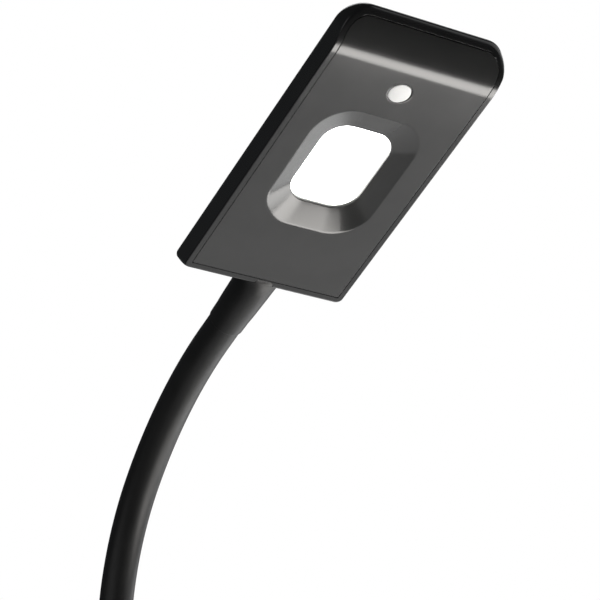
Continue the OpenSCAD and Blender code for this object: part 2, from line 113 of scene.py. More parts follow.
def add_camera():
    """The photograph's viewpoint: low, in front of the head and to its left, looking up."""
    azimuth, elevation, distance = math.radians(58.95), math.radians(-23.66), 1.0263
    aim = HEAD.translation + Vector((5.6, 14.1, -5.7)) * MM
    back = Vector((math.sin(azimuth) * math.cos(elevation),
                   -math.cos(azimuth) * math.cos(elevation), math.sin(elevation)))
    camera = bpy.data.objects.new("camera", bpy.data.cameras.new("camera"))
    camera.data.lens = 153.4
    camera.data.sensor_width = 36
    camera.data.shift_x = -0.001
    camera.location = aim + back * distance
    camera.rotation_mode = "QUATERNION"
    camera.rotation_quaternion = (-back).to_track_quat("-Z", "Y")
    bpy.context.scene.collection.objects.link(camera)
    bpy.context.scene.camera = camera


add_camera()


# ---------------------------------------------------------------- mesh helpers

def loft(bm, rings, wrap=True):
    """Quads between neighbouring rings of points; returns the grid of vertices."""
    grid = [[bm.verts.new(p) for p in ring] for ring in rings]
    count = len(grid[0])
    for low, high in zip(grid, grid[1:]):
        for i in range(count if wrap else count - 1):
            k = (i + 1) % count
            bm.faces.new((low[i], low[k], high[k], high[i]))
    return grid


def closed_loft(bm, rings):
    """A loft whose first and last rings are filled."""
    grid = loft(bm, rings)
    bm.faces.new(grid[0])
    bm.faces.new(grid[-1])


def rounded(corners, steps=5, closed=False):
    """A polyline through corners given as (a, b, radius), with each corner rounded."""
    count = len(corners)
    points = []
    for i, (a, b, radius) in enumerate(corners):
        here = Vector((a, b))
        if radius <= 0 or (not closed and i in (0, count - 1)):
            points.append(here)
            continue
        before = (here - Vector(corners[i - 1][:2])).normalized()
        after = (Vector(corners[(i + 1) % count][:2]) - here).normalized()
        turn = before.angle_signed(after)
        reach = radius * math.tan(abs(turn) / 2)
        side = Vector((before.y, -before.x)) * (1 if turn > 0 else -1)
        centre = here - before * reach + side * radius
        for k in range(steps + 1):
            share = -turn * k / steps
            c, s = math.cos(share), math.sin(share)
            arm = -side * radius
            points.append(centre + Vector((arm.x * c - arm.y * s, arm.x * s + arm.y * c)))
    return points


def even_shading(obj, sharp):
    """Smooth shading that stays flat on flat faces, with creases kept."""
    for polygon in obj.data.polygons:
        polygon.use_smooth = True
    obj.data.set_sharp_from_angle(angle=math.radians(sharp))
    flat = obj.modifiers.new("flat", "WEIGHTED_NORMAL")
    flat.keep_sharp = True
    flat.weight = 90


def piece(name, bm, matrix, body, slot, sharp=35):
    """A mesh object that rides on a body, if one is given, with the finish of its slot."""
    bmesh.ops.recalc_face_normals(bm, faces=bm.faces)
    mesh = bpy.data.meshes.new(name)
    bm.to_mesh(mesh)
    bm.free()
    mesh.transform(matrix)
    obj = bpy.data.objects.new(name, mesh)
    bpy.context.scene.collection.objects.link(obj)
    mesh.materials.append(FINISH[slot])
    even_shading(obj, sharp)
    if body:
        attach(obj, body)
    return obj


def turned(bm, profile, segments=SEGMENTS):
    """A closed profile of (radius, height) points turned about z. Points on the axis close it."""
    rings = []
    for radius, height in profile:
        rings.append([(max(radius, 0.0005) * math.cos(2 * math.pi * i / segments),
                       max(radius, 0.0005) * math.sin(2 * math.pi * i / segments), height)
                      for i in range(segments)])
    if profile[0] != profile[-1] and profile[0][0] > 0.01:
        rings.append(rings[0])
    loft(bm, rings)
    bmesh.ops.remove_doubles(bm, verts=bm.verts, dist=0.002)


def prism(bm, outline, half, edge, steps=4):
    """An outline of (x, z) points drawn out to y = -half..half, with its end edges rounded."""
    count = len(outline)
    normals = []
    for i in range(count):
        along = outline[(i + 1) % count] - outline[i - 1]
        normals.append(Vector((along.y, -along.x)).normalized())
    area = sum(p.x * q.y - q.x * p.y for p, q in zip(outline, outline[1:] + outline[:1]))
    out = 1 if area > 0 else -1
    turns = [math.pi / 2 * k / steps for k in range(steps + 1)]
    rows = [(half - edge + edge * math.sin(turn), edge * (1 - math.cos(turn))) for turn in turns]
    rows = [(-y, inset) for y, inset in reversed(rows)] + rows
    rings = [[(p.x - out * n.x * inset, y, p.y - out * n.y * inset)
              for p, n in zip(outline, normals)] for y, inset in rows]
    closed_loft(bm, rings)


def combine(obj, operation, tools):
    """Applies one boolean operation with each tool object, and removes the tools."""
    for tool in tools:
        cut = obj.modifiers.new("cut", "BOOLEAN")
        cut.operation, cut.object, cut.solver = operation, tool, "EXACT"
    bpy.context.view_layer.update()
    made = bpy.data.meshes.new_from_object(obj.evaluated_get(bpy.context.evaluated_depsgraph_get()))
    obj.modifiers.clear()
    obj.data = made
    for tool in tools:
        bpy.data.objects.remove(tool)


def tool_object(bm, matrix):
    """A plain object for combine(), which removes it again."""
    bmesh.ops.recalc_face_normals(bm, faces=bm.faces)
    mesh = bpy.data.meshes.new("tool")
    bm.to_mesh(mesh)
    bm.free()
    mesh.transform(matrix)
    obj = bpy.data.objects.new("tool", mesh)
    bpy.context.scene.collection.objects.link(obj)
    return obj


def along_x(x, z):
    """Local z becomes +X, from a point of the XZ plane in millimetres."""
    return ROW @ Matrix.Translation((x, 0, z)) @ Matrix.Rotation(math.pi / 2, 4, "Y")


# ---------------------------------------------------------------- materials

def new_material(name):
    """A material with its nodes on, and its shader."""
    material = bpy.data.materials.new(name)
    material.use_nodes = True
    return material, material.node_tree.nodes["Principled BSDF"]


def noise(tree, scale, detail=3.0, stretch=(1, 1, 1)):
    """A noise texture in the piece's own coordinates, scale in features per metre."""
    coords = tree.nodes.new("ShaderNodeTexCoord")
    mapping = tree.nodes.new("ShaderNodeMapping")
    mapping.inputs["Scale"].default_value = stretch
    texture = tree.nodes.new("ShaderNodeTexNoise")
    texture.inputs["Scale"].default_value = scale
    texture.inputs["Detail"].default_value = detail
    tree.links.new(coords.outputs["Object"], mapping.inputs["Vector"])
    tree.links.new(mapping.outputs["Vector"], texture.inputs["Vector"])
    return texture.outputs["Fac"]


def ramp(tree, factor, low, high, start=0.35, stop=0.65):
    """Two colours or values blended by a factor."""
    node = tree.nodes.new("ShaderNodeValToRGB")
    node.color_ramp.elements[0].position = start
    node.color_ramp.elements[1].position = stop
    node.color_ramp.elements[0].color = (*low, 1)
    node.color_ramp.elements[1].color = (*high, 1)
    tree.links.new(factor, node.inputs["Fac"])
    return node.outputs["Color"]


def span(tree, factor, low, high):
    """A value from low to high, from a noise factor's middle range."""
    node = tree.nodes.new("ShaderNodeMapRange")
    node.inputs["From Min"].default_value = 0.3
    node.inputs["From Max"].default_value = 0.7
    node.inputs["To Min"].default_value = low
    node.inputs["To Max"].default_value = high
    tree.links.new(factor, node.inputs["Value"])
    return node.outputs["Result"]


def add_bump(tree, shader, height, distance, strength=0.6):
    """Relief on a shader, with its depth in metres."""
    node = tree.nodes.new("ShaderNodeBump")
    node.inputs["Distance"].default_value = distance
    node.inputs["Strength"].default_value = strength
    tree.links.new(height, node.inputs["Height"])
    tree.links.new(node.outputs["Normal"], shader.inputs["Normal"])


def surface(name, colour, roughness, metallic=0.0, grain=2500, grain_depth=0.00002,
            spread=0.12, polish=0.05, patches=60, stretch=(1, 1, 1), ior=1.5):
    """A moulded, painted or metal finish: patchy tone and polish over a fine grain."""
    material, shader = new_material(name)
    tree = material.node_tree
    cloud = noise(tree, patches)
    low = tuple(c * (1 - spread) for c in colour)
    high = tuple(min(1, c * (1 + spread)) for c in colour)
    tree.links.new(ramp(tree, cloud, low, high), shader.inputs["Base Color"])
    fine = noise(tree, grain, 2.0, stretch)
    tree.links.new(span(tree, cloud, roughness - polish, roughness + polish),
                   shader.inputs["Roughness"])
    shader.inputs["Metallic"].default_value = metallic
    shader.inputs["IOR"].default_value = ior
    add_bump(tree, shader, fine, grain_depth)
    return material


def opal_material():
    """Opal plastic lit from behind, faintly cloudy."""
    material, shader = new_material("opal_lit")
    tree = material.node_tree
    cloud = noise(tree, 55, 1.0)
    tree.links.new(ramp(tree, cloud, (1.0, 1.0, 0.955), (1.0, 1.0, 0.985)),
                   shader.inputs["Emission Color"])
    tree.links.new(ramp(tree, cloud, (0.86, 0.86, 0.84), (0.92, 0.92, 0.9)),
                   shader.inputs["Base Color"])
    shader.inputs["Emission Strength"].default_value = 14.0
    shader.inputs["Roughness"].default_value = 0.4
    return material


def board_material(name, mask, copper):
    """Solder mask with copper tracks under it, longer along Y than across."""
    material, shader = new_material(name)
    tree = material.node_tree
    tracks = noise(tree, 260, 0.0, (1, 0.25, 1))
    tree.links.new(ramp(tree, tracks, mask, copper, 0.55, 0.58), shader.inputs["Base Color"])
    shader.inputs["Roughness"].default_value = 0.35
    add_bump(tree, shader, tracks, 0.00003)
    return material


def make_materials():
    """One finish for each material slot."""
    return {
        "cover_gloss": surface("cover_gloss", (0.012, 0.012, 0.012), 0.17, grain=900,
                               grain_depth=0.0000015, polish=0.025),
        "panel_satin": surface("panel_satin", (0.028, 0.028, 0.0275), 0.16, grain=1800,
                               grain_depth=0.000001, polish=0.012, spread=0.05),
        "opal": opal_material(),
        "white_plastic": surface("white_plastic", (0.85, 0.85, 0.83), 0.45),
        "board_white": board_material("board_white", (0.85, 0.85, 0.82), (0.75, 0.74, 0.68)),
        "phosphor": surface("phosphor", (0.9, 0.72, 0.2), 0.5, spread=0.08),
        "aluminium": surface("aluminium", (0.72, 0.73, 0.75), 0.38, 1.0, 900, 0.00001,
                             stretch=(1, 12, 1)),
        "board_green": board_material("board_green", (0.015, 0.11, 0.045), (0.05, 0.22, 0.09)),
        "component_black": surface("component_black", (0.02, 0.02, 0.021), 0.42),
        "wire": surface("wire", (0.35, 0.015, 0.012), 0.4),
        "button_white": surface("button_white", (0.88, 0.88, 0.87), 0.36, grain=3000,
                                grain_depth=0.000008, spread=0.03),
        "plated_steel": surface("plated_steel", (0.62, 0.63, 0.65), 0.3, 1.0, 1600, 0.000008,
                                spread=0.08, polish=0.08, stretch=(6, 1, 1)),
        "brass_plated": surface("brass_plated", (0.72, 0.52, 0.24), 0.3, 1.0, 1600, 0.000006),
        "sleeve_rubber": surface("sleeve_rubber", (0.010, 0.010, 0.010), 0.46, grain=1500,
                                 grain_depth=0.000004, polish=0.04, spread=0.2, ior=1.43),
        "lead_black": surface("lead_black", (0.02, 0.02, 0.021), 0.45),
        "clamp_black": surface("clamp_black", (0.016, 0.016, 0.017), 0.42, grain=1900,
                               grain_depth=0.00005, polish=0.06, spread=0.2),
        "pad_rubber": surface("pad_rubber", (0.045, 0.045, 0.044), 0.72, grain=2200,
                              grain_depth=0.00004),
        "black_steel": surface("black_steel", (0.06, 0.06, 0.065), 0.35, 0.9, 1800, 0.00001),
        "neck_steel": surface("neck_steel", (0.45, 0.46, 0.48), 0.34, 1.0, 1300, 0.00003,
                              stretch=(1, 1, 9)),
    }


FINISH = make_materials()


def finish_cad_nodes():
    """Gives every carried-over CAD node the finish of its material slot."""
    slots = {row["node"]: row["material_slot"] for row in frame["record"]["subparts"]}
    for name, node in frame["nodes"].items():
        node.data.materials.clear()
        node.data.materials.append(FINISH[slots[name]])


# ---------------------------------------------------------------- the head

def lip(x):
    """Height of the face's surface: flat, then the lip's upward arc."""
    if x <= FACE_LEN:
        return 0.0
    return LIP_R - math.sqrt(LIP_R ** 2 - (x - FACE_LEN) ** 2)


def head_length():
    """Where the lip's arc meets the rounding of the top edge, plus that rounding."""
    inner = LIP_R - EDGE_R
    return FACE_LEN + EDGE_R + math.sqrt(inner ** 2 - (HEAD_T - EDGE_R - LIP_R) ** 2)


HEAD_LEN = head_length() + LIP_EXTRA


def arc(cx, cy, radius, start, stop, steps):
    """Points and outward normals along an arc, angles in degrees."""
    made = []
    for k in range(steps + 1):
        angle = math.radians(start + (stop - start) * k / steps)
        normal = Vector((math.cos(angle), math.sin(angle)))
        made.append((Vector((cx, cy)) + normal * radius, normal))
    return made


def straight(p, q, normal, steps):
    """Points strictly between p and q, each with the given normal."""
    p, q = Vector(p), Vector(q)
    return [(p.lerp(q, k / steps), Vector(normal)) for k in range(1, steps)]


def head_outline():
    """The head's outline in plan, with outward normals, all the way round."""
    half = HEAD_W / 2
    side = straight((REAR_R, half), (FACE_LEN, half), (0, 1), 24)
    side += [(Vector((FACE_LEN, half)), Vector((0, 1)))]
    side += straight((FACE_LEN, half), (HEAD_LEN - FRONT_R, half), (0, 1), 6)
    left = arc(REAR_R, half - REAR_R, REAR_R, 180, 90, 8) + side
    left += arc(HEAD_LEN - FRONT_R, half - FRONT_R, FRONT_R, 90, 0, 18)
    front = straight((HEAD_LEN, half - FRONT_R), (HEAD_LEN, FRONT_R - half), (1, 0), 24)
    right = [(Vector((p.x, -p.y)), Vector((n.x, -n.y))) for p, n in reversed(left)]
    rear = straight((0, REAR_R - half), (0, half - REAR_R), (-1, 0), 24)
    return left + front + right + rear


def cover_profile(p, n):
    """The cover's section at one point of the outline, as (inset, height): seam, rim, side, top."""
    def face(d):
        """Height of the face at a distance in from the outline."""
        return lip(p.x - n.x * d)

    front = max(0.0, n.x)
    side_r = 0.45
    low_r = side_r + (EDGE_R - side_r) * front * front * (3 - 2 * front)
    corners = [(RIM_W, face(RIM_W) + WALL, 0), (RIM_W, face(RIM_W), 0.12)]
    corners += [(d, face(d), 0) for d in (RIM_W - 0.55, 1.35)]
    lower = rounded(corners + [(0, face(0), low_r), (0, HEAD_T, 0)], 8)[:-1]
    upper = rounded([(0, face(0), 0), (0, HEAD_T, EDGE_R), (TOP_INSET, HEAD_T, 0)], 8)[1:]
    outer = lower + [lower[-1].lerp(upper[0], k / 6) for k in range(1, 6)] + upper
    inner_r = EDGE_R - WALL
    inner = rounded([(TOP_INSET, HEAD_T - WALL, 0), (WALL, HEAD_T - WALL, inner_r),
                     (WALL, face(WALL) + WALL, 0)], 4)
    return outer + inner


def build_cover():
    """The glossy cover: rim round the face, sides, rounded top edges and flat top, hollow inside."""
    lean_curve = 0.7

    def leaned(x, y, z):
        """The rear wall leans out as it rises, and draws the sides along with it."""
        rise = min(1.0, max(0.0, z) / (HEAD_T - EDGE_R)) ** lean_curve
        return (x - REAR_LEAN * rise * max(0.0, 1 - x / FACE_LEN), y, z)

    bm = bmesh.new()
    outline = head_outline()
    columns = [[leaned(p.x - n.x * d, p.y - n.y * d, z) for d, z in cover_profile(p, n)]
               for p, n in outline]
    rings = [list(ring) for ring in zip(*columns)]
    flat = next(i for i, (d, z) in enumerate(cover_profile(*outline[0])) if d == TOP_INSET)
    outer = loft(bm, rings[:flat + 1])
    bm.faces.new(outer[-1])
    inner = loft(bm, rings[flat + 1:] + [rings[0]])
    bm.faces.new(inner[0])
    bmesh.ops.remove_doubles(bm, verts=bm.verts, dist=0.001)
    obj = piece("head_cover", bm, HEAD, "head", "cover_gloss", 40)
    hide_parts("top_cover")


def rounded_box(x, y, size):
    """Signed distance from a rounded rectangle of length, width and corner radius."""
    length, width, radius = size
    qx = abs(x) - length / 2 + radius
    qy = abs(y) - width / 2 + radius
    return math.hypot(max(qx, 0), max(qy, 0)) + min(max(qx, qy), 0) - radius


def on_ray(direction, size):
    """Where a ray from the middle leaves a rounded rectangle."""
    low, high = 0.0, size[0] + size[1]
    for _ in range(40):
        middle = (low + high) / 2
        if rounded_box(direction.x * middle, direction.y * middle, size) < 0:
            low = middle
        else:
            high = middle
    return direction * low


def dish_depth(share):
    """Depth from the mouth, share 0, to the window, share 1: brim, gentle slope, steep throat."""
    width = (MOUTH[0] - WINDOW[0]) / 2
    brim, throat, slope = 0.12, 0.93, math.tan(math.radians(17.5))
    depth = slope * width * (share * share / (2 * brim) if share < brim else share - brim / 2)
    if share > throat:
        rest = WINDOW_DEPTH - slope * width * (1 - brim / 2)
        depth += rest * ((share - throat) / (1 - throat)) ** 2
    return depth


DISH_SHARES = [1, 0.99, 0.98, 0.97, 0.96, 0.95, 0.94, 0.93, 0.75, 0.65, 0.55, 0.45, 0.35, 0.25,
               0.17, 0.14, 0.12, 0.1, 0.08, 0.06, 0.04, 0.02, 0]
PANEL_HALF = HEAD_W / 2 - RIM_W - SEAM
PANEL_REAR = RIM_W + SEAM
PANEL_FRONT = HEAD_LEN - RIM_W - SEAM
MIDDLE_X = 98.0
CROSS_STEPS = 32


def cross_line(x, half=PANEL_HALF):
    """Evenly spaced points across the panel at one x."""
    return [Vector((x, half * (2 * j / CROSS_STEPS - 1))) for j in range(CROSS_STEPS + 1)]


def window_patch(bm):
    """The flat face and the dish, from the panel's rear edge to the line behind the button."""
    r = max(REAR_R - RIM_W - SEAM, 0.5)
    half = PANEL_HALF
    middle = Vector((WINDOW_X, 0))
    top = [p for p, _ in straight((MIDDLE_X, half), (PANEL_REAR + r, half), (0, 1), 40)]
    corner = [p for p, _ in arc(PANEL_REAR + r, half - r, r, 90, 180, 5)]
    rear = [p for p, _ in straight((PANEL_REAR, half - r), (PANEL_REAR, r - half), (-1, 0), 30)]
    mirrored = [Vector((p.x, -p.y)) for p in reversed(top + corner)]
    outline = cross_line(MIDDLE_X) + top + corner + rear + mirrored
    rings = []
    for share in DISH_SHARES:
        ring = []
        for p in outline:
            ray = (p - middle).normalized()
            q = middle + on_ray(ray, MOUTH).lerp(on_ray(ray, WINDOW), share)
            ring.append((q.x, q.y, dish_depth(share)))
        rings.append(ring)
    for share in (0.12, 0.5, 1):
        ring = []
        for p in outline:
            brim = middle + on_ray((p - middle).normalized(), MOUTH)
            q = brim.lerp(p, share)
            ring.append((q.x, q.y, 0))
        rings.append(ring)
    loft(bm, rings)


def button_patch(bm):
    """The flat strip round the button, up to where the lip starts to rise."""
    middle = Vector((BUTTON_X, 0))
    hole = BUTTON_R + 0.3
    ends = [Vector((x, PANEL_HALF)) for x in (MIDDLE_X, FACE_LEN)]
    top = [p for p, _ in straight(ends[1], ends[0], (0, 1), 10)]
    bottom = [Vector((p.x, -p.y)) for p in reversed(top)]
    outline = cross_line(FACE_LEN) + top + cross_line(MIDDLE_X)[::-1] + bottom
    rings = []
    for share in (0, 0.04, 0.1, 0.3, 0.6, 1):
        ring = []
        for p in outline:
            q = (middle + (p - middle).normalized() * hole).lerp(p, share)
            ring.append((q.x, q.y, 0))
        rings.append(ring)
    loft(bm, rings)


def lip_patch(bm):
    """The lip, in rows that follow its arc and narrow round the front corners."""
    corner_r = FRONT_R - RIM_W - SEAM
    corner_x = PANEL_FRONT - corner_r
    rows = [(x, PANEL_HALF) for x in
            (FACE_LEN + (corner_x - FACE_LEN) * k / 10 for k in range(10))]
    for k in range(19):
        turn = math.pi / 2 * k / 18
        rows.append((corner_x + corner_r * math.sin(turn),
                     PANEL_HALF - corner_r * (1 - math.cos(turn))))
    loft(bm, [[(p.x, p.y, lip(p.x)) for p in cross_line(x, half)] for x, half in rows], wrap=False)


def inner_place(co):
    """The point of the panel's inside that lies behind a point of its outside."""
    if co.x > FACE_LEN:
        centre = Vector((FACE_LEN, co.y, LIP_R))
        return centre + (co - centre) * (1 - WALL / LIP_R)
    away = Vector((co.x - WINDOW_X, co.y, 0))
    depth = co.z / WINDOW_DEPTH
    push = away.normalized() * 1.6 * depth if co.z > 0 else Vector()
    return Vector((co.x, co.y, WALL + (WINDOW_DEPTH - 0.05 - WALL) * depth)) + push


def thicken(bm, inner):
    """Closes an open sheet into a solid, with an inside placed by a function of the outside."""
    twins = {v: bm.verts.new(inner(v.co)) for v in list(bm.verts)}
    rim = [e for e in bm.edges if e.is_boundary]
    for face in list(bm.faces):
        bm.faces.new([twins[v] for v in reversed(face.verts)])
    for edge in rim:
        a, b = edge.verts
        bm.faces.new((a, b, twins[b], twins[a]))
    return rim


def build_panel():
    """The satin face panel: flat face, smooth dish round the window, button hole and rising lip."""
    bm = bmesh.new()
    window_patch(bm)
    button_patch(bm)
    lip_patch(bm)
    bmesh.ops.remove_doubles(bm, verts=bm.verts, dist=0.002)
    rim = thicken(bm, inner_place)
    bmesh.ops.recalc_face_normals(bm, faces=bm.faces)
    bmesh.ops.bevel(bm, geom=rim, offset=0.14, segments=2, profile=0.5, affect="EDGES")
    obj = piece("head_panel", bm, HEAD, "head", "panel_satin", 40)
    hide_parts("face_panel")


def build_lens():
    """The opal diffuser: a plate behind the panel, with a shallow boss that stands in the window."""
    plate_top, plate_margin = WINDOW_DEPTH + DIFFUSER_T, 1.6
    boss = [(0.2, WINDOW_DEPTH), (0.2, 4.3), (0.25, 4.15), (0.4, 4.05), (0.6, 4.0), (4, 3.93),
            (8, 3.9)]
    profile = [(-plate_margin, plate_top), (-plate_margin, WINDOW_DEPTH), *boss]
    rays = [Vector((math.cos(a), math.sin(a))) for a in
            (2 * math.pi * i / 144 for i in range(144))]
    rings = []
    for inset, height in profile:
        size = (WINDOW[0] - 2 * inset, WINDOW[1] - 2 * inset, max(WINDOW[2] - inset, 1))
        rings.append([(WINDOW_X + q.x, q.y, height) for q in (on_ray(ray, size) for ray in rays)])
    bm = bmesh.new()
    closed_loft(bm, rings)
    obj = piece("window_lens", bm, HEAD, "head", "opal")
    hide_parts("diffuser")


def build_button():
    """The push button: a shallow dome with a rounded edge, its flange and its stem."""
    bm = bmesh.new()
    dome = [(BUTTON_R * k / 8, -0.32 + 0.3 * (k / 8) ** 2) for k in range(8)]
    stem_top = 4.4
    corners = [(BUTTON_R - 0.35, -0.04, 0), (BUTTON_R, 0.05, 0.3), (BUTTON_R, 1.9, 0.1),
               (BUTTON_R + 1.1, 1.9, 0.15), (BUTTON_R + 1.1, 2.7, 0.15), (1.6, 2.7, 0.2),
               (1.6, stem_top, 0.2), (0, stem_top, 0)]
    turned(bm, dome + rounded(corners, 4))
    matrix = HEAD @ Matrix.Translation((BUTTON_X, 0, 0))
    obj = piece("push_button", bm, matrix, "button", "button_white")
    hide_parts("switch_button")


def boot_radii(x):
    """The boot's half width and half height at x along the head: it widens and flattens."""
    stations = ((-30, 7.35, 7.35), (-20, 8.0, 8.0), (-9, 8.4, 8.4), (-5, 8.65, 8.2),
                (-2.5, 9.0, 7.75), (-1, 9.5, 7.3), (0, 10.2, 7.0))
    for (x0, *wide), (x1, *next_wide) in zip(stations, stations[1:]):
        if x <= x1:
            share = (x - x0) / (x1 - x0)
            return [a + (b - a) * share for a, b in zip(wide, next_wide)]
    return stations[-1][1:]


def add_toe(bm, edge, plane, reach):
    """A lip that runs out over one face of the head from the boot's last ring, and dies away."""
    steps, narrowing = 8, 0.22
    rows = [edge]
    for k in range(1, steps + 1):
        share = k / steps
        rise = math.cos(math.pi / 2 * share) ** 2
        rows.append([bm.verts.new((reach * share, v.co.y * (1 - narrowing * share * share),
                                   plane + (v.co.z - plane) * rise)) for v in edge])
    for low, high in zip(rows, rows[1:]):
        for i in range(len(low) - 1):
            bm.faces.new((low[i], low[i + 1], high[i + 1], high[i]))
    bm.faces.new([row[0] for row in rows] + rows[-1][1:] + [row[-1] for row in rows[-2::-1]])


def build_boot():
    """The rubber boot: a rounded step on the neck, a taper, and toes that run out over the head."""
    columns, toe, bore, bore_end = 96, 2.0, NECK_R + 0.05, -12
    step = rounded([(bore, -28, 0), (bore, -30, 0.05), (7.6, -30, 0.3), (7.7, -27, 0)], 4)
    sections = [(p.x, p.x, p.y) for p in step]
    sections += [(*boot_radii(x), x) for x in
                 (-24, -22, -19, -16, -13, -10, -8, -6, -5, -4, -3, -2.5, -2, -1.5, -1, -0.5, 0)]
    angles = [2 * math.pi * i / columns for i in range(columns)]

    def ring(wide, high, x):
        """An ellipse of points about the neck's axis."""
        return [(x, wide * math.sin(a), NECK_H + high * math.cos(a)) for a in angles]

    bm = bmesh.new()
    last = loft(bm, [ring(*section) for section in sections])[-1]
    blind = loft(bm, [ring(bore, bore, x) for x in (-28, bore_end)])
    bm.faces.new(blind[-1])
    over = sorted((v for v in last if v.co.z > HEAD_T), key=lambda v: v.co.y)
    under = sorted((v for v in last if v.co.z < 0), key=lambda v: v.co.y)
    add_toe(bm, under, 0.0, toe)
    add_toe(bm, over, HEAD_T, toe)
    inner = over[1:-1] + under[1:-1]
    end = sorted((v for v in last if v not in inner),
                 key=lambda v: math.atan2(v.co.z - NECK_H, v.co.y))
    bm.faces.new(end)
    bmesh.ops.remove_doubles(bm, verts=bm.verts, dist=0.0005)
    obj = piece("neck_boot_cover", bm, HEAD, "head", "sleeve_rubber", 40)
    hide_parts("neck_boot")


# ---------------------------------------------------------------- the neck

def neck_runs():
    """The centre line's runs, as (length, radius), where a straight run has no radius."""
    bends = [(radius * turn, radius) for radius, turn in (LOW_BEND, HIGH_BEND)]
    return [(FOOT_LEN, None), *bends, (HEAD_RUN, None)]


def neck_place(s):
    """Point and direction of the neck's centre line at arc length s, in the XZ plane."""
    point, heading, left = Vector((0, 0, SOCKET_TOP)), 0.0, s
    for length, radius in neck_runs():
        step = min(left, length)
        if radius is None:
            point = point + Vector((math.sin(heading), 0, math.cos(heading))) * step
        else:
            end = heading + step / radius
            point = point + radius * Vector((math.cos(heading) - math.cos(end), 0,
                                             math.sin(end) - math.sin(heading)))
            heading = end
        left -= step
    return point, heading


def neck_joints():
    """Arc lengths of the seven hinges: two on the foot, two on the low bend, three on the high."""
    low, high = (radius * turn for radius, turn in (LOW_BEND, HIGH_BEND))
    first = 20.0
    ends = [FOOT_LEN + low * k / 2 for k in (1, 2)]
    return [first, FOOT_LEN, *ends, *[ends[-1] + high * k / 3 for k in (1, 2, 3)]]


def tube_mesh(bm, s0, s1):
    """A stretch of the sleeve, closed at both ends."""
    ring_gap, columns = 1.5, 56
    count = max(2, math.ceil((s1 - s0) / ring_gap))
    outer, inner = [], []
    for i in range(count + 1):
        point, heading = neck_place(s0 + (s1 - s0) * i / count)
        across = Vector((math.cos(heading), 0, -math.sin(heading)))
        for rows, radius in ((outer, NECK_R), (inner, SLEEVE_BORE)):
            ring = []
            for k in range(columns):
                angle = 2 * math.pi * k / columns
                out = across * math.cos(angle) + Vector((0, 1, 0)) * math.sin(angle)
                ring.append(point + out * radius)
            rows.append(ring)
    loft(bm, outer + inner[::-1] + [outer[0]])
    bmesh.ops.remove_doubles(bm, verts=bm.verts, dist=0.0005)


def build_neck():
    """The sleeve in stretches that meet at the middles of the links, one hinge inside each."""
    joints = neck_joints()
    boot_end = joints[-1] + HEAD_RUN - BOOT_LEN
    ends = [(a + b) / 2 for a, b in zip([0.0] + joints, joints)] + [boot_end]
    clearance, margin, in_boot = 0.1, 1.6, 7
    bm = bmesh.new()
    tube_mesh(bm, clearance, ends[0])
    foot = piece("neck_skin_foot", bm, ROW, "base", "sleeve_rubber", 60)
    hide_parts("neck_sleeve_1")
    for j, (s0, s1) in enumerate(zip(ends, ends[1:])):
        bm = bmesh.new()
        tube_mesh(bm, s0, s1)
        skin = piece(f"neck_skin_{j + 1}", bm, ROW, None, "sleeve_rubber", 60)
        start, stop = (neck_place(s)[0] * MM for s in (s0 + margin, s1 - margin))
        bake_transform(skin)
        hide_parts(f"neck_sleeve_{j + 2}")
    bm = bmesh.new()
    tube_mesh(bm, boot_end, boot_end + in_boot)
    piece("neck_skin_top", bm, ROW, "head", "sleeve_rubber", 60)


# ---------------------------------------------------------------- the clamp

FRONT_JAW_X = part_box("jaw_pad")[1].x / MM
REAR_JAW_X = -22.0
SCREW_Z = -24.0
INLET_Z = 8.0
SET_SCREW_Z = 22.0


def cylinder_tool(x0, x1, z, radius, chamfer=0.0):
    """A cutter along +X, wider over its first 2 mm if it has a chamfer."""
    mouth = [(radius, 0)]
    if chamfer:
        mouth = [(radius + chamfer, 0), (radius + chamfer, 2), (radius, 2 + chamfer)]
    bm = bmesh.new()
    turned(bm, [(0, 0), *mouth, (radius, x1 - x0), (0, x1 - x0)], 48)
    return tool_object(bm, along_x(x0, z))


def build_clamp_body():
    """The cast body: a rounded U with a filleted boss, and holes for the screws and the inlet."""
    low, high = (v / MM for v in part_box("clamp_body"))
    roof, boss_r, foot_r = 16.0, 10, 12.6
    outline = rounded([
        (low.x, low.z, 3), (REAR_JAW_X, low.z, 0.9), (REAR_JAW_X, 0, 0.6), (FRONT_JAW_X, 0, 0.6),
        (FRONT_JAW_X, low.z, 0.9), (high.x, low.z, 3), (high.x, roof, 6), (low.x, roof, 6)],
        8, closed=True)
    bm = bmesh.new()
    prism(bm, outline, high.y, 0.8)
    obj = piece("clamp_frame", bm, ROW, None, "clamp_black")
    boss = bmesh.new()
    corners = [(0, roof - 4, 0), (foot_r, roof - 4, 0), (foot_r, roof + 0.02, 0),
               (boss_r, roof + 0.02, 2.5), (boss_r, high.z, 0.6), (0, high.z, 0)]
    turned(boss, rounded(corners, 8), 96)
    combine(obj, "UNION", [tool_object(boss, ROW)])
    combine(obj, "DIFFERENCE", [
        cylinder_tool(-12, -5.6, SET_SCREW_Z, 2.05),
        cylinder_tool(low.x - 2, low.x + 11.6, INLET_Z, 4.05),
        cylinder_tool(low.x - 2, REAR_JAW_X + 2, SCREW_Z, 3.0, 0.35)])
    even_shading(obj, 32)
    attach(obj, "base")
    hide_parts("clamp_body")


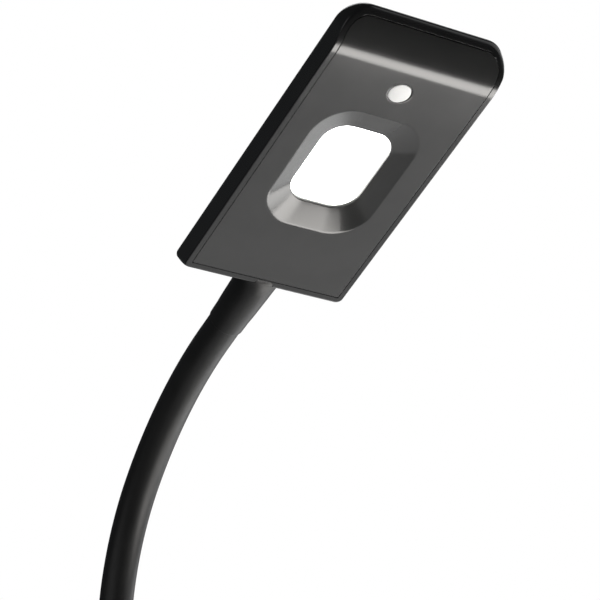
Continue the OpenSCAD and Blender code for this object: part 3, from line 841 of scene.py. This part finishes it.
def build_jaw_pad():
    """The rubber pad on the front jaw, with grooves across its gripping face."""
    low, high = (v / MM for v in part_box("jaw_pad"))
    corners = [(high.x, low.z, 0.2), (high.x, high.z, 0.2), (low.x, high.z, 0.5)]
    pitch, groove, depth = 3.0, 0.55, 0.4
    count = int((high.z - low.z) / pitch)
    margin = (high.z - low.z - (count - 1) * pitch) / 2
    for k in range(count):
        z = high.z - margin - k * pitch
        corners += [(low.x, z + groove, 0.12), (low.x + depth, z + groove / 2, 0.08),
                    (low.x + depth, z - groove / 2, 0.08), (low.x, z - groove, 0.12)]
    corners.append((low.x, low.z, 0.5))
    bm = bmesh.new()
    prism(bm, rounded(corners, 3, closed=True), high.y, 0.15, 3)
    obj = piece("jaw_grip", bm, ROW, "base", "pad_rubber")
    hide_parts("jaw_pad")


def build_collar():
    """The collar where the neck leaves the socket."""
    bm = bmesh.new()
    corners = [(NECK_R + 0.12, 0, 0), (9.6, 0, 0.3), (9.6, 1.9, 0.8), (8.3, 6, 0.8),
               (NECK_R + 0.12, 6, 0.35)]
    turned(bm, rounded(corners, 5, closed=True))
    matrix = ROW @ Matrix.Translation((0, 0, SOCKET_TOP))
    obj = piece("socket_collar", bm, matrix, "base", "clamp_black")
    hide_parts("neck_collar")


def build_inlet():
    """The low-voltage inlet: flange, barrel and bore."""
    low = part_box("dc_inlet")[0] / MM
    bm = bmesh.new()
    bore = [(0, 10.2, 0), (2.75, 10.2, 0.1), (2.75, 0, 0.3), (3.4, 0, 0)]
    flange = [(5.6, 0, 0.35), (5.6, 1.2, 0.1), (4.0, 1.2, 0.05)]
    barrel = [(4.0, 12.6, 0.2), (0, 12.6, 0)]
    turned(bm, rounded(bore + flange + barrel, 4))
    obj = piece("power_inlet", bm, along_x(low.x, INLET_Z), "base", "component_black")
    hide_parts("dc_inlet")


def build_pressure_pad():
    """The swivel pad: a dished steel foot with a boss, and its grooved rubber face."""
    low, high = (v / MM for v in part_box("pressure_pad"))
    length = high.x - low.x
    bm = bmesh.new()
    corners = [(2.05, 0, 0.2), (5.5, 0, 0.5), (5.5, 4.4, 1.2), (11, 5.4, 0.5), (11, length, 0.4),
               (3.9, length, 0.1), (3.9, length - 2, 0.1), (2.05, length - 2, 0.1)]
    turned(bm, rounded(corners, 5, closed=True))
    obj = piece("pad_foot", bm, along_x(low.x, SCREW_Z), "clamp_pad", "plated_steel")
    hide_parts("pressure_pad")
    low, high = (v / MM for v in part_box("pad_face"))
    thick = high.x - low.x
    corners = [(0, 0, 0), (10.5, 0, 0.2), (10.5, thick, 0.4)]
    for radius in (8.6, 6.4, 4.2):
        corners += [(radius + 0.5, thick, 0.1), (radius + 0.25, thick - 0.4, 0.1),
                    (radius - 0.25, thick - 0.4, 0.1), (radius - 0.5, thick, 0.1)]
    corners.append((0, thick, 0))
    bm = bmesh.new()
    turned(bm, rounded(corners, 3))
    obj = piece("pad_grip", bm, along_x(low.x, SCREW_Z), "clamp_pad", "pad_rubber")
    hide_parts("pad_face")


def screw_ring(x, radii):
    """Points round the screw's axis at one x, one for each radius."""
    turns = [2 * math.pi * k / len(radii) for k in range(len(radii))]
    return [(x, radius * math.cos(turn), SCREW_Z + radius * math.sin(turn))
            for turn, radius in zip(turns, radii)]


def build_screw():
    """The clamp screw, with its real thread from the knob to the shoulder."""
    low, high = (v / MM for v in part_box("clamp_screw"))
    crest, root, pitch, runout = 2.95, 2.45, 1.0, 1.2
    columns, per_turn = 36, 12
    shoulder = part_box("pressure_pad")[0].x / MM - 0.1
    rows = int((shoulder - low.x) / pitch * per_turn)
    rings = []
    for i in range(rows + 1):
        x = low.x + (shoulder - low.x) * i / rows
        fade = max(0.0, min(1.0, (shoulder - x) / runout, (x - low.x) / runout))
        waves = [abs(((x / pitch - k / columns) % 1.0) * 2 - 1) for k in range(columns)]
        threads = [min(1.0, max(0.0, wave * 1.35 - 0.15)) for wave in waves]
        rings.append(screw_ring(x, [root + (crest - root) * thread * fade for thread in threads]))
    for x, radius in ((shoulder + 0.01, 2.0), (high.x - 0.4, 2.0), (high.x, 1.7)):
        rings.append(screw_ring(x, [radius] * columns))
    bm = bmesh.new()
    closed_loft(bm, rings)
    obj = piece("screw_rod", bm, ROW, "screw", "plated_steel", 50)
    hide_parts("clamp_screw")


def build_knob():
    """The lobed knob: scalloped sides, rounded edges, a hub behind and a recess in the end."""
    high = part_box("clamp_knob")[1] / MM
    lobes, knob_r, scallop_r, scallop_at, columns = 10, 13.0, 3.0, 14.6, 240

    def radius_at(turn, trim):
        """The lobed radius at a share of a turn, less a trim for the rounded edges."""
        step = 1 / lobes
        off = ((turn / step) % 1.0 - 0.5) * step * 2 * math.pi
        reach = scallop_at * math.sin(off)
        cut = scallop_r + trim
        rim = knob_r - trim
        if abs(reach) < cut:
            inner = scallop_at * math.cos(off) - math.sqrt(cut ** 2 - reach ** 2)
            sharp = 7.0
            return -math.log(math.exp(-sharp * inner) + math.exp(-sharp * rim)) / sharp
        return rim

    edge = 1.3
    rows = [(8.0, 0.0, 0), (8.0, 3.0, 0)]
    for k in range(7):
        turn = math.pi / 2 * k / 6
        rows.append((None, 3 + edge * (1 - math.cos(turn)), edge * (1 - math.sin(turn))))
    for k in range(7)[::-1]:
        turn = math.pi / 2 * k / 6
        rows.append((None, 14 - edge * (1 - math.cos(turn)), edge * (1 - math.sin(turn))))
    rows += [(8.3, 14.0, 0), (8.0, 13.8, 0), (7.9, 13.1, 0), (7.4, 13.0, 0), (4.0, 13.15, 0)]
    rings = []
    for fixed, height, trim in rows:
        radii = [fixed or radius_at(k / columns, trim) for k in range(columns)]
        rings.append(screw_ring(high.x - height, radii))
    bm = bmesh.new()
    closed_loft(bm, rings)
    obj = piece("knob", bm, ROW, "screw", "clamp_black", 45)
    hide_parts("clamp_knob")


# ---------------------------------------------------------------- the stage

def soft_light(name, towards, distance, size, radiance, colour=(1, 1, 1)):
    """A rectangular softbox that faces the head; radiance is what a mirror would show of it."""
    target = HEAD @ Vector((WINDOW_X, 0, 0))
    away = Vector(towards).normalized()
    data = bpy.data.lights.new(name, "AREA")
    data.shape = "RECTANGLE"
    data.size, data.size_y = size
    data.energy = radiance * math.pi * size[0] * size[1]
    data.color = colour
    light = bpy.data.objects.new(name, data)
    light.location = target + away * distance
    light.rotation_mode = "QUATERNION"
    light.rotation_quaternion = (-away).to_track_quat("-Z", "Y")
    light.visible_camera = False
    bpy.context.scene.collection.objects.link(light)


def for_camera(tree, shown, hidden, output):
    """Gives the camera one shader, and everything that the object reflects the other."""
    path = tree.nodes.new("ShaderNodeLightPath")
    mix = tree.nodes.new("ShaderNodeMixShader")
    tree.links.new(path.outputs["Is Camera Ray"], mix.inputs["Fac"])
    tree.links.new(hidden, mix.inputs[1])
    tree.links.new(shown, mix.inputs[2])
    tree.links.new(mix.outputs["Shader"], tree.nodes[output].inputs["Surface"])


def add_floor():
    """A plain pale floor, so far below the clamp that it doesn't hide views from below."""
    bm = bmesh.new()
    bmesh.ops.create_circle(bm, cap_ends=True, segments=96, radius=16)
    mesh = bpy.data.meshes.new("floor")
    bm.to_mesh(mesh)
    bm.free()
    floor = bpy.data.objects.new("floor", mesh)
    floor.location.z = -2.4
    material, shader = new_material("pale_floor")
    tree = material.node_tree
    cloud = noise(tree, 1.5)
    tree.links.new(ramp(tree, cloud, (0.78, 0.78, 0.77), (0.8, 0.8, 0.8)),
                   shader.inputs["Base Color"])
    shader.inputs["Roughness"].default_value = 0.9
    show = tree.nodes.new("ShaderNodeEmission")
    show.inputs["Strength"].default_value = 0.9
    for_camera(tree, show.outputs["Emission"], shader.outputs["BSDF"], "Material Output")
    mesh.materials.append(material)
    bpy.context.scene.collection.objects.link(floor)


def add_world():
    """White behind the object, and a dim room for everything that it reflects."""
    world = bpy.data.worlds.new("studio")
    bpy.context.scene.world = world
    world.use_nodes = True
    tree = world.node_tree
    seen = tree.nodes["Background"]
    seen.inputs["Color"].default_value = (1, 1, 1, 1)
    room = tree.nodes.new("ShaderNodeBackground")
    room.inputs["Color"].default_value = (0.9, 0.95, 1.0, 1)
    room.inputs["Strength"].default_value = 0.07
    for_camera(tree, seen.outputs["Background"], room.outputs["Background"], "World Output")


def add_lights():
    """Softboxes round the head, each named for where it is or for what shows it."""
    soft_light("lip_strip", (0.114, 0.607, -0.786), 0.436, (0.125, 0.34), 10.0,
               (1.0, 0.975, 0.94))
    soft_light("dish_corner", (-0.16, 0.77, -0.61), 1.0, (0.4, 0.26), 6.0, (1.0, 0.985, 0.96))
    soft_light("under_right", (-0.5, 0.52, -0.7), 1.2, (1.7, 1.5), 0.9)
    soft_light("right_wall", (0.35, 0.9, 0.37), 1.3, (2.0, 1.0), 0.9)
    soft_light("right_low", (0.5, 0.9, -0.3), 1.25, (1.0, 0.5), 0.3)
    soft_light("left_dish", (-0.6, 0.75, -0.28), 1.15, (0.9, 0.5), 1.5)
    soft_light("left_fill", (0.25, -1.0, 0.1), 1.5, (1.6, 1.2), 0.7)
    soft_light("straight_down", (-0.22, -0.28, -0.93), 1.1, (0.7, 0.7), 0.35)
    soft_light("overhead", (-0.35, 0.15, 1.0), 1.3, (1.0, 1.0), 2.5)
    soft_light("right_back", (-0.2, 1.0, 0.3), 1.5, (1.0, 1.0), 1.8)


finish_cad_nodes()
build_cover()
build_panel()
build_lens()
build_button()
build_boot()
build_neck()
build_clamp_body()
build_jaw_pad()
build_collar()
build_inlet()
build_pressure_pad()
build_screw()
build_knob()
add_floor()
add_world()
add_lights()
bpy.context.scene.view_settings.view_transform = "Standard"
